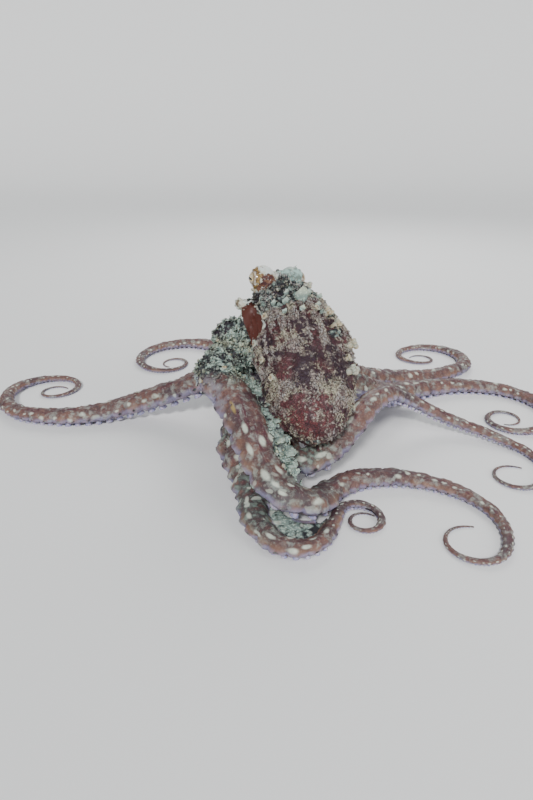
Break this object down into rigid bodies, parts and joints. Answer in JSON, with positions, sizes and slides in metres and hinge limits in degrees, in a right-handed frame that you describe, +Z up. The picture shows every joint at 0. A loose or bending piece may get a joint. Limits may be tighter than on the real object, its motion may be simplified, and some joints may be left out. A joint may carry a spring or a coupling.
{
  "type": "octopus",
  "caption": "Day octopus resting on its spread, curling arms, head raised and mantle hanging behind, with papillae, suckers, a funnel and domed eyes.",
  "frame": {"origin": "middle of the bounding box's bottom face, on the floor", "axes": "+Z up; the animal faces +Y and a little -X, so its mantle hangs towards -Y, the picture's camera side, and its left is towards -X"},
  "size_m": [0.5256, 0.4122, 0.1424],
  "materials": {
    "mantle_skin": "wet, mottled maroon skin",
    "head_skin": "wet, mottled cream and brown skin",
    "arm_skin": "wet, red-brown skin with pale spots",
    "web_skin": "wet, pale green-grey skin",
    "funnel_skin": "smooth, wet, red-brown skin",
    "eye": "clear, wet eyeball with a gold rim"
  },
  "bodies": {
    "root": {"arm_crown": "web_skin", "arm_left_1_1": "arm_skin", "arm_left_1_2": "arm_skin", "arm_left_1_3": "arm_skin", "arm_left_1_4": "arm_skin", "arm_left_1_5": "arm_skin", "arm_left_1_6": "arm_skin", "arm_left_2_1": "arm_skin", "arm_left_2_2": "arm_skin", "arm_left_2_3": "arm_skin", "arm_left_2_4": "arm_skin", "arm_left_2_5": "arm_skin", "arm_left_2_6": "arm_skin", "arm_left_3_1": "arm_skin", "arm_left_3_2": "arm_skin", "arm_left_3_3": "arm_skin", "arm_left_3_4": "arm_skin", "arm_left_3_5": "arm_skin", "arm_left_3_6": "arm_skin", "arm_left_3_7": "arm_skin", "arm_left_4_1": "arm_skin", "arm_left_4_2": "arm_skin", "arm_left_4_3": "arm_skin", "arm_left_4_4": "arm_skin", "arm_left_4_5": "arm_skin", "arm_left_4_6": "arm_skin", "arm_right_1_1": "arm_skin", "arm_right_1_2": "arm_skin", "arm_right_1_3": "arm_skin", "arm_right_1_4": "arm_skin", "arm_right_1_5": "arm_skin", "arm_right_1_6": "arm_skin", "arm_right_2_1": "arm_skin", "arm_right_2_2": "arm_skin", "arm_right_2_3": "arm_skin", "arm_right_2_4": "arm_skin", "arm_right_2_5": "arm_skin", "arm_right_2_6": "arm_skin", "arm_right_3_1": "arm_skin", "arm_right_3_2": "arm_skin", "arm_right_3_3": "arm_skin", "arm_right_3_4": "arm_skin", "arm_right_3_5": "arm_skin", "arm_right_3_6": "arm_skin", "arm_right_4_1": "arm_skin", "arm_right_4_2": "arm_skin", "arm_right_4_3": "arm_skin", "arm_right_4_4": "arm_skin", "arm_right_4_5": "arm_skin", "arm_right_4_6": "arm_skin", "arm_right_4_7": "arm_skin", "eye_left": "eye", "eye_right": "eye", "funnel": "funnel_skin", "head": "head_skin", "mantle": "mantle_skin", "web_fold": "web_skin"}
  },
  "joints": []
}
